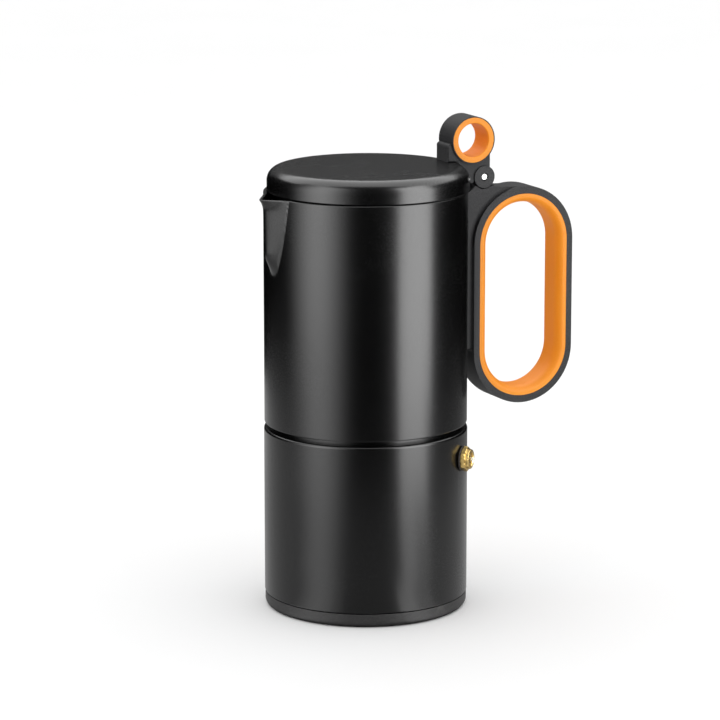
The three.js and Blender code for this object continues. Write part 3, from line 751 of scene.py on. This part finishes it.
def handle_screw(height, place):
    outline = [
        (0, 41),
        (1.1, 41),
        (1.1, 39.8),
        (3.4, 40.2, 1.2),
        (3.5, 41.9, 0.15),
        (HANDLE_SCREW_RADIUS, 41.9),
        (HANDLE_SCREW_RADIUS, 50.6, 0.5),
        (0, 50.6),
    ]
    outline = rounded(outline, closed=False)
    return turned("bracket_screw_" + place, outline, 64, handle_screw_axis(height))


def handle_seal(height, place):
    inner = HANDLE_SCREW_RADIUS + 0.15
    corners = [(inner, 42), (3.7, 42), (3.7, 42.7), (inner, 42.7)]
    outline = rounded([(*corner, 0.15) for corner in corners])
    return turned("bracket_seal_" + place, outline, 64, handle_screw_axis(height))


def handle_insert(height, place):
    """A brass insert with grooves round its outside."""
    inner = HANDLE_SCREW_RADIUS + 0.15
    outer = INSERT_RADIUS
    groove = 3
    first_groove, last_groove, groove_pitch = 46.6, 49.8, 0.8
    outline = [(inner, INSERT_START), (outer, INSERT_START)]
    for start in levels(first_groove, last_groove, groove_pitch):
        outline += [(outer, start), (groove, start + 0.1), (groove, start + 0.3), (outer, start + 0.4)]
    outline += [(outer, INSERT_END), (inner, INSERT_END)]
    return turned("bracket_insert_" + place, outline, 64, handle_screw_axis(height))


def hinge_pin():
    half = BRACKET_HALF_THICKNESS - 0.3
    radius = PIN_RADIUS - 0.1
    outline = rounded([(0, -half), (radius, -half, 0.2), (radius, half, 0.2), (0, half)], closed=False)
    return turned("lid_hinge_pin", outline, 64, HINGE_AXIS)


# ---------------------------------------------------------------- lid and its arm


def lid():
    """The cap, and a ring under it that centres it in the chamber and stops short of the arm's screws."""
    inside = LID_RADIUS - LID_WALL
    underside = LID_TOP - LID_WALL
    outline = [
        (0, underside),
        (inside - 2, underside, 0.8),
        (inside, underside - 2, 0.8),
        (inside, LID_BOTTOM, 0.3),
        (LID_RADIUS, LID_BOTTOM, 0.5),
        (LID_RADIUS, LID_TOP, LID_EDGE),
        (0, LID_TOP),
    ]
    place = Matrix.Translation((LID_OFFSET, 0, 0))
    ring_foot = LID_BOTTOM - 2.4
    ring_top = underside + 0.5
    inner, outer = 40.5, 41.7
    section = [(inner, ring_foot, 0.25), (outer, ring_foot, 0.4), (outer, ring_top), (inner, ring_top)]
    ring = turned("lid_ring", rounded(section), 252, place)
    gap_start, gap_end, gap_half_width, gap_bottom = 30, 50, 9, 180
    gap_low = (gap_start + LID_OFFSET, -gap_half_width, gap_bottom)
    cut(ring, block(gap_low, (gap_end + LID_OFFSET, gap_half_width, LID_TOP + 1)))
    cap = join(turned("lid_cap", rounded(outline, 14, closed=False), 288, place), ring)
    for y in LID_SCREW_SIDES.values():
        cut(cap, rod(LID_SCREW_RADIUS + 0.3, LID_BOTTOM, FOOT_TOP, lid_screw_axis(y), 32))
    return cap


def arm_foot():
    """The arm's flat body: a wide foot on the lid, and a neck that follows the lid's edge to the hinge."""
    foot = LID_TOP + 0.05
    foot_right = FOOT_LEFT + 6
    gap = 0.15
    edge = Vector((LID_OFFSET + LID_RADIUS - LID_EDGE, LID_TOP - LID_EDGE))
    neck = [
        (FOOT_LEFT + 2, foot),
        (edge.x - 1.5, foot),
        *[edge + ray(radians(90 - 7.5 * k), LID_EDGE + gap) for k in range(13)],
        (edge.x + LID_EDGE + gap, LID_BOTTOM),
        (HINGE_X - KNUCKLE_RADIUS, LID_BOTTOM),
        (HINGE_X - KNUCKLE_RADIUS, HINGE_Z),
        (HINGE_X + 3.1, HINGE_Z),
        (NECK_RIGHT, RING_Z),
        (RING_X, FOOT_TOP),
        (FOOT_LEFT + 2, FOOT_TOP - 1),
    ]
    top = [(foot_right, FOOT_TOP, 1), (FOOT_LEFT, FOOT_TOP, 1.5)]
    block_outline = rounded([(FOOT_LEFT, foot), (foot_right, foot), *top])
    body = plate("lid_arm_body", neck, NECK_HALF_THICKNESS, 0.4)
    return join(body, plate("foot", block_outline, FOOT_HALF_THICKNESS, 0.7))


def lid_arm():
    head = plate("head", disc(RING_X, RING_Z, RING_RADIUS, 160), RING_HALF_THICKNESS, 0.2)
    ears = plate("ears", disc(HINGE_X, HINGE_Z, KNUCKLE_RADIUS), BRACKET_HALF_THICKNESS, 0.4)
    arm = join(arm_foot(), ears)
    slot_half = FORK_SLOT_HALF_WIDTH
    slot_reach = 12
    slot_bottom = HINGE_Z - 8
    slot_top = HINGE_Z + KNUCKLE_RADIUS + 0.5
    slot_low = (HINGE_X - slot_reach, -slot_half, slot_bottom)
    cut(arm, block(slot_low, (HINGE_X + slot_reach, slot_half, slot_top)))
    join(arm, head)
    recess = RING_HALF_THICKNESS - 1.25
    flange = RING_LINER_RADIUS + 0.05
    bush = RING_BUSH_RADIUS + 0.05
    spool = [(0, -THROUGH), (flange, -THROUGH), (flange, -recess), (bush, -recess)]
    spool += [(radius, -along) for radius, along in reversed(spool)]
    cut(arm, turned("cutter", spool, 128, RING_AXIS))
    for y in LID_SCREW_SIDES.values():
        cut(arm, rod(LID_SCREW_RADIUS + 0.15, LID_BOTTOM, LID_SCREW_TOP + 0.5, lid_screw_axis(y), 32))
    return cut(arm, rod(PIN_RADIUS + 0.3, -THROUGH, THROUGH, HINGE_AXIS, 48))


def lid_ring_liner():
    """A soft bush with a flange at each face of the ring."""
    face = RING_HALF_THICKNESS
    flange = 1.2
    outline = [
        (RING_HOLE_RADIUS, -face, 0.5),
        (RING_LINER_RADIUS, -face, 0.2),
        (RING_LINER_RADIUS, flange - face),
        (RING_BUSH_RADIUS, flange - face),
        (RING_BUSH_RADIUS, face - flange),
        (RING_LINER_RADIUS, face - flange),
        (RING_LINER_RADIUS, face, 0.2),
        (RING_HOLE_RADIUS, face, 0.5),
    ]
    return turned("lid_ring_bush", rounded(outline), 128, RING_AXIS)


def lid_screw(y, side):
    head = LID_TOP - LID_WALL - 0.7
    outline = [
        (0, head - 0.7),
        (0.7, head - 0.7),
        (0.7, head - 1.4),
        (2, head - 1.2, 0.7),
        (2, head, 0.1),
        (LID_SCREW_RADIUS, head),
        (LID_SCREW_RADIUS, LID_SCREW_TOP, 0.4),
        (0, LID_SCREW_TOP),
    ]
    return turned("arm_screw_" + side, rounded(outline, closed=False), 48, lid_screw_axis(y))


def lid_washer(y, side):
    top = LID_TOP - LID_WALL - 0.1
    inner = LID_SCREW_RADIUS + 0.2
    corners = [(inner, top - 0.5), (2.2, top - 0.5), (2.2, top), (inner, top)]
    outline = rounded([(*corner, 0.1) for corner in corners])
    return turned("arm_washer_" + side, outline, 48, lid_screw_axis(y))


# ---------------------------------------------------------------- materials


class Finish:
    """A material and short ways to add and wire its nodes."""

    def __init__(self, name, metallic=0.0, specular=0.5):
        self.material = bpy.data.materials.new(name)
        self.material.use_nodes = True
        self.nodes = self.material.node_tree.nodes
        self.links = self.material.node_tree.links
        self.surface = self.nodes["Principled BSDF"]
        self.surface.inputs["Metallic"].default_value = metallic
        self.surface.inputs["Specular IOR Level"].default_value = specular
        self.place = self.nodes.new("ShaderNodeTexCoord").outputs["Object"]
        self.normal = None

    def stretched(self, x, y, z):
        """The object's coordinates with each axis scaled."""
        node = self.nodes.new("ShaderNodeMapping")
        self.links.new(self.place, node.inputs["Vector"])
        node.inputs["Scale"].default_value = (x, y, z)
        return node.outputs["Vector"]

    def noise(self, scale, detail=2.0, roughness=0.5, place=None):
        node = self.nodes.new("ShaderNodeTexNoise")
        self.links.new(place or self.place, node.inputs["Vector"])
        node.inputs["Scale"].default_value = scale
        node.inputs["Detail"].default_value = detail
        node.inputs["Roughness"].default_value = roughness
        return node.outputs["Fac"]

    def cells(self, scale, place=None):
        node = self.nodes.new("ShaderNodeTexVoronoi")
        self.links.new(place or self.place, node.inputs["Vector"])
        node.inputs["Scale"].default_value = scale
        return node.outputs["Distance"]

    def edges(self):
        return self.nodes.new("ShaderNodeNewGeometry").outputs["Pointiness"]

    def spread(self, value, low, high, at_low=0.0, at_high=1.0):
        """The value rescaled from one range to another, and held inside it."""
        node = self.nodes.new("ShaderNodeMapRange")
        self.links.new(value, node.inputs["Value"])
        for name, number in (("From Min", low), ("From Max", high), ("To Min", at_low), ("To Max", at_high)):
            node.inputs[name].default_value = number
        return node.outputs["Result"]

    def calculate(self, operation, first, second):
        node = self.nodes.new("ShaderNodeMath")
        node.operation = operation
        for socket, value in zip(node.inputs, (first, second)):
            if isinstance(value, (int, float)):
                socket.default_value = value
            else:
                self.links.new(value, socket)
        return node.outputs["Value"]

    def blend(self, factor, first, second):
        """A colour between two others. Each is an (r, g, b) or another blend."""
        node = self.nodes.new("ShaderNodeMix")
        node.data_type = "RGBA"
        self.links.new(factor, node.inputs["Factor"])
        for socket, colour in ((node.inputs[6], first), (node.inputs[7], second)):
            if isinstance(colour, tuple):
                socket.default_value = (*colour, 1)
            else:
                self.links.new(colour, socket)
        return node.outputs[2]

    def colour(self, value):
        self.links.new(value, self.surface.inputs["Base Color"])

    def roughness(self, value):
        self.links.new(value, self.surface.inputs["Roughness"])

    def bump(self, height, depth_mm, strength=1.0):
        """Adds relief of a given depth on top of any earlier relief."""
        node = self.nodes.new("ShaderNodeBump")
        node.inputs["Strength"].default_value = strength
        node.inputs["Distance"].default_value = depth_mm * MM
        self.links.new(height, node.inputs["Height"])
        if self.normal:
            self.links.new(self.normal, node.inputs["Normal"])
        self.normal = node.outputs["Normal"]
        self.links.new(self.normal, self.surface.inputs["Normal"])


def satin_black():
    """A black baked coat with a soft sheen, fine pits and slightly rubbed edges."""
    finish = Finish("satin_black", specular=0.5)
    clouds = finish.noise(35, 3)
    peel = finish.noise(900, 2)
    specks = finish.noise(4200, 1)
    coat = finish.blend(finish.spread(clouds, 0.3, 0.7), (0.0006, 0.0006, 0.0007), (0.0012, 0.0012, 0.0013))
    coat = finish.blend(finish.spread(specks, 0.66, 0.74), coat, (0.012, 0.012, 0.0125))
    rubbed = finish.spread(finish.edges(), 0.54, 0.62)
    worn = finish.calculate("MULTIPLY", rubbed, finish.spread(peel, 0.4, 0.6))
    finish.colour(finish.blend(worn, coat, (0.03, 0.03, 0.031)))
    patches = finish.spread(clouds, 0.3, 0.7, 0.24, 0.265)
    finish.roughness(finish.calculate("ADD", patches, finish.spread(specks, 0.3, 0.7, -0.01, 0.02)))
    finish.bump(peel, 0.012, 0.5)
    finish.bump(specks, 0.006, 0.5)
    return finish.material


def base_finish():
    """A rougher, grainier black for the steel disc that stands on the stove."""
    finish = Finish("base_finish", specular=0.36)
    grain = finish.noise(2600, 2)
    scuffs = finish.noise(60, 5, 0.7)
    coat = finish.blend(finish.spread(grain, 0.35, 0.68), (0.008, 0.008, 0.0085), (0.035, 0.034, 0.034))
    finish.colour(finish.blend(finish.spread(scuffs, 0.6, 0.75), coat, (0.05, 0.048, 0.046)))
    finish.roughness(finish.spread(scuffs, 0.3, 0.7, 0.42, 0.56))
    finish.bump(grain, 0.03, 0.6)
    return finish.material


def black_plastic():
    """Heat-proof moulded plastic with an even spark-eroded grain."""
    finish = Finish("black_plastic", specular=0.15)
    grain = finish.noise(2200, 3, 0.6)
    clouds = finish.noise(28, 3)
    tone = finish.blend(finish.spread(clouds, 0.3, 0.7), (0.013, 0.013, 0.014), (0.018, 0.018, 0.019))
    rubbed = finish.spread(finish.edges(), 0.54, 0.64)
    worn = finish.calculate("MULTIPLY", rubbed, finish.spread(grain, 0.4, 0.6))
    tone = finish.blend(finish.spread(grain, 0.45, 0.75), tone, (0.034, 0.034, 0.0355))
    finish.colour(finish.blend(worn, tone, (0.07, 0.07, 0.072)))
    finish.roughness(finish.spread(clouds, 0.3, 0.7, 0.5, 0.58))
    finish.bump(grain, 0.03, 0.6)
    return finish.material


def orange_liner():
    """Soft-touch moulded orange, a little paler where it is rubbed."""
    finish = Finish("orange_liner", specular=0.15)
    finish.surface.inputs["Subsurface Weight"].default_value = 0.08
    finish.surface.inputs["Subsurface Radius"].default_value = (0.8, 0.3, 0.1)
    finish.surface.inputs["Subsurface Scale"].default_value = 1.5 * MM
    grain = finish.noise(3000, 2)
    clouds = finish.noise(32, 3)
    tone = finish.blend(finish.spread(clouds, 0.3, 0.7), (0.84, 0.27, 0.012), (0.88, 0.3, 0.02))
    finish.colour(finish.blend(finish.spread(grain, 0.5, 0.8), tone, (0.91, 0.34, 0.04)))
    finish.roughness(finish.spread(clouds, 0.3, 0.7, 0.42, 0.52))
    finish.bump(grain, 0.012, 0.5)
    return finish.material


def metal(name, dark, light, low, high, across, along=(1, 1, 1)):
    """A bare metal with fine tool marks, soft stains and pits."""
    finish = Finish(name, metallic=1.0)
    marks = finish.noise(across, 3, 0.6, finish.stretched(*along))
    stains = finish.noise(70, 4, 0.6)
    pits = finish.cells(900)
    tone = finish.blend(finish.spread(stains, 0.35, 0.7), light, dark)
    finish.colour(finish.blend(finish.spread(pits, 0.16, 0.04), tone, tuple(0.6 * part for part in dark)))
    patches = finish.spread(stains, 0.3, 0.7, low, high)
    finish.roughness(finish.calculate("ADD", patches, finish.spread(marks, 0.3, 0.7, -0.05, 0.05)))
    finish.bump(marks, 0.012, 0.5)
    return finish.material


def valve_brass():
    return metal("valve_brass", (0.52, 0.36, 0.12), (0.78, 0.6, 0.27), 0.24, 0.34, 1500)


def bright_steel():
    return metal("bright_steel", (0.5, 0.5, 0.5), (0.68, 0.68, 0.67), 0.22, 0.32, 1800)


def bare_aluminium():
    return metal("bare_aluminium", (0.5, 0.5, 0.49), (0.74, 0.74, 0.73), 0.36, 0.48, 420, (1, 1, 6))


def rubber(name, low_tone, high_tone):
    """A seal with a matt skin, faint flow marks and dust."""
    finish = Finish(name, specular=0.35)
    skin = finish.noise(1400, 3)
    flow = finish.noise(50, 4)
    tone = finish.blend(finish.spread(flow, 0.3, 0.7), low_tone, high_tone)
    dusty = tuple(min(1, 1.25 * part + 0.02) for part in high_tone)
    finish.colour(finish.blend(finish.spread(skin, 0.6, 0.75), tone, dusty))
    finish.roughness(finish.spread(flow, 0.3, 0.7, 0.55, 0.7))
    finish.bump(skin, 0.02, 0.5)
    return finish.material


def pale_seal():
    return rubber("pale_seal", (0.6, 0.55, 0.46), (0.7, 0.66, 0.57))


def dark_seal():
    return rubber("dark_seal", (0.025, 0.02, 0.017), (0.04, 0.034, 0.03))


# ---------------------------------------------------------------- the whole pot


def build_pot():
    black, base, plastic = satin_black(), base_finish(), black_plastic()
    orange, brass, steel = orange_liner(), valve_brass(), bright_steel()
    aluminium, pale, dark = bare_aluminium(), pale_seal(), dark_seal()
    installed(induction_base(), "boiler", ["induction_base"], base)
    installed(boiler(), "boiler", ["boiler"], black)
    installed(valve_body(), "boiler", ["valve_body"], brass)
    installed(valve_washer(), "boiler", ["valve_washer"], dark)
    installed(valve_nut(), "boiler", ["valve_nut"], brass)
    spring = installed(valve_spring(), "boiler", ["valve_spring"], steel)
    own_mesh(spring)
    installed(valve_retainer(), "boiler", ["valve_retainer"], brass)
    installed(valve_piston(), "valve_piston", ["valve_piston"], steel)
    installed(funnel(), "funnel", ["funnel"], aluminium)
    installed(funnel_sieve(), "funnel", ["funnel_sieve"], aluminium)
    installed(gasket(), "gasket", ["gasket"], pale)
    installed(filter_plate(), "filter_plate", ["filter_plate"], aluminium)
    installed(chamber(), "chamber", ["chamber"], black)
    installed(brew_column(), "chamber", ["brew_column"], aluminium)
    installed(handle(), "chamber", ["handle"], plastic)
    loop_liner = installed(handle_liner(), "chamber", ["handle_liner"], orange)
    loop_liner.visible_glossy = False
    for place, height in HANDLE_SCREW_HEIGHTS.items():
        installed(handle_screw(height, place), "chamber", ["handle_screw_" + place], steel)
        installed(handle_seal(height, place), "chamber", ["handle_seal_" + place], dark)
        installed(handle_insert(height, place), "chamber", ["handle_insert_" + place], brass)
    installed(hinge_pin(), "chamber", ["hinge_pin"], steel)
    installed(lid(), "lid", ["lid"], black)
    installed(lid_arm(), "lid", ["lid_arm"], plastic)
    ring_bush = installed(lid_ring_liner(), "lid", ["lid_ring_liner"], orange)
    ring_bush.visible_glossy = False
    for side, y in LID_SCREW_SIDES.items():
        installed(lid_screw(y, side), "lid", ["lid_screw_" + side], steel)
        installed(lid_washer(y, side), "lid", ["lid_washer_" + side], steel)


# ---------------------------------------------------------------- studio

VIEW_ANGLE = radians(-26)
CAMERA_DISTANCE = 1.506
CAMERA_HEIGHT = 0.4307
CAMERA_TILT = radians(12)
CAMERA_LENS = 173.35
CAMERA_SHIFT = -0.0079
SKY_STRENGTH = 3.9


def around(angle, distance, height=0.0):
    """A place in metres, with the angle measured from the camera's side of the pot, to its right."""
    turn = VIEW_ANGLE + angle
    return Vector((distance * sin(turn), -distance * cos(turn), height))


def add_camera():
    camera = bpy.data.objects.new("camera", bpy.data.cameras.new("camera"))
    bpy.context.scene.collection.objects.link(camera)
    camera.location = around(0, CAMERA_DISTANCE, CAMERA_HEIGHT)
    camera.rotation_euler = (pi / 2 - CAMERA_TILT, 0, VIEW_ANGLE)
    camera.data.lens = CAMERA_LENS
    camera.data.sensor_width = 36
    camera.data.shift_x = CAMERA_SHIFT
    camera.data.clip_end = 50
    bpy.context.scene.camera = camera


def glowing(name, strength):
    material = bpy.data.materials.new(name)
    material.use_nodes = True
    nodes = material.node_tree.nodes
    nodes.clear()
    glow = nodes.new("ShaderNodeEmission")
    glow.inputs["Strength"].default_value = strength
    output = nodes.new("ShaderNodeOutputMaterial")
    material.node_tree.links.new(glow.outputs["Emission"], output.inputs["Surface"])
    return material


def add_sheet(name, corners, material):
    """A flat sheet in metres that isn't part of the object."""
    mesh = bpy.data.meshes.new(name)
    mesh.from_pydata([tuple(corner) for corner in corners], [], [tuple(range(len(corners)))])
    mesh.materials.append(material)
    sheet = bpy.data.objects.new(name, mesh)
    bpy.context.scene.collection.objects.link(sheet)
    return sheet


def add_card(name, corners, strength):
    """A softly glowing sheet that shows in reflections."""
    card = add_sheet(name, corners, glowing(name, strength))
    card.visible_camera = False
    card.visible_diffuse = False
    card.visible_shadow = False
    return card


def add_curved_card(name, start, end, distance, low, high, strength_at):
    """Upright panels that follow a circle round the pot, each with its own strength. Angles in degrees."""
    edges = levels(start, end, 8)
    for k, (first, last) in enumerate(zip(edges, edges[1:])):
        corners = [
            around(radians(first), distance, low),
            around(radians(last), distance, low),
            around(radians(last), distance, high),
            around(radians(first), distance, high),
        ]
        add_card(f"{name}_{k + 1}", corners, strength_at((first + last) / 2))


def floor_material():
    finish = Finish("studio_floor", specular=0.2)
    finish.colour(finish.blend(finish.noise(6, 2), (0.86, 0.86, 0.86), (0.88, 0.88, 0.88)))
    finish.roughness(finish.spread(finish.noise(40, 3), 0.3, 0.7, 0.7, 0.8))
    return finish.material


def add_sky(strength):
    """Soft light from all of the sky above, the same at every place on the floor."""
    lamp = bpy.data.lights.new("sky", "SUN")
    lamp.energy = strength
    lamp.angle = radians(170)
    holder = bpy.data.objects.new("sky", lamp)
    bpy.context.scene.collection.objects.link(holder)
    holder.rotation_euler = (radians(12), 0, VIEW_ANGLE)
    holder.visible_camera = False
    holder.visible_glossy = False


def add_white_world():
    world = bpy.data.worlds.new("studio")
    bpy.context.scene.world = world
    world.use_nodes = True
    world.node_tree.nodes["Background"].inputs["Color"].default_value = (1, 1, 1, 1)
    world.cycles_visibility.glossy = False
    world.cycles_visibility.diffuse = False


def add_floor():
    reach = 12
    corners = [(-reach, -reach, 0), (reach, -reach, 0), (reach, reach, 0), (-reach, reach, 0)]
    add_sheet("floor", corners, floor_material()).visible_glossy = False


def beside(right, ahead, height=0.0):
    """A place in metres, measured to the right of the pot and towards the camera."""
    return around(pi / 2, right) + around(0, ahead, height)


def add_table(name, near, far, strength_at):
    """The table's glow in reflections: flat panels in a ring just under the floor. Angles in degrees."""
    below_floor = -0.002
    edges = levels(-180, 180, 8)
    for k, (first, last) in enumerate(zip(edges, edges[1:])):
        corners = ((first, near), (last, near), (last, far), (first, far))
        panel = [around(radians(angle), distance, below_floor) for angle, distance in corners]
        add_card(f"{name}_{k + 1}", panel, strength_at((first + last) / 2))


def add_soft_boxes():
    """The glowing cards whose reflections model the satin walls."""
    left_middle, left_half = -53.5, 42
    right_start, right_end = 36.5, 76.5

    def bell(angle):
        return cos(pi / 2 * min(1, abs(angle - left_middle) / left_half)) ** 2

    def near_table(angle):
        if right_start <= angle <= right_end:
            return 2.4 if angle < 62 else 1.3
        return max(1.8 * bell(angle), 0.6 if abs(angle) > 76 else 0.34)

    def far_table(angle):
        if right_start <= angle <= right_end:
            return 5
        side = 0.65 if angle < 0 else 0.3
        return max(2.2 * bell(angle), side if abs(angle) > 76 else 0.02)

    left_span = (left_middle - left_half, left_middle + left_half)
    right_span = (right_start, right_end)
    left_foot, right_foot = -0.045, -0.113
    box_distance, box_top = 0.8, 1.0
    left_glow, right_glow, top_glow, back_glow = 5, 7.9, 3, 0.13

    def left_box(angle):
        return left_glow * bell(angle)

    add_curved_card("left_box", *left_span, box_distance, left_foot, box_top, left_box)
    add_curved_card("right_box", *right_span, box_distance, right_foot, box_top, lambda angle: right_glow)
    top_height = 1.1
    top = ((1.5, 0.4), (-1.5, 0.4), (-1.5, -1.4), (1.5, -1.4))
    add_card("top_box", [beside(right, ahead, top_height) for right, ahead in top], top_glow)
    back_distance = 1.6
    back = [(150, 0.35), (-150, 0.35), (-150, 1.0), (150, 1.0)]
    back_corners = [around(radians(angle), back_distance, height) for angle, height in back]
    add_card("back_box", back_corners, back_glow)
    # The table's pattern is narrowed towards the pot, more so in the nearer rings.
    first_edge, second_edge, third_edge, last_edge = 0.047, 0.12, 0.28, 0.5
    add_table("near_table", first_edge, second_edge, lambda angle: near_table(angle / 0.77))
    add_table("middle_table", second_edge, third_edge, lambda angle: near_table(angle / 0.88))
    add_table("far_table", third_edge, last_edge, lambda angle: far_table(angle / 0.94))


def add_studio():
    bpy.context.scene.view_settings.view_transform = "Standard"
    add_white_world()
    add_floor()
    add_sky(SKY_STRENGTH)
    add_soft_boxes()


build_pot()
add_camera()
add_studio()
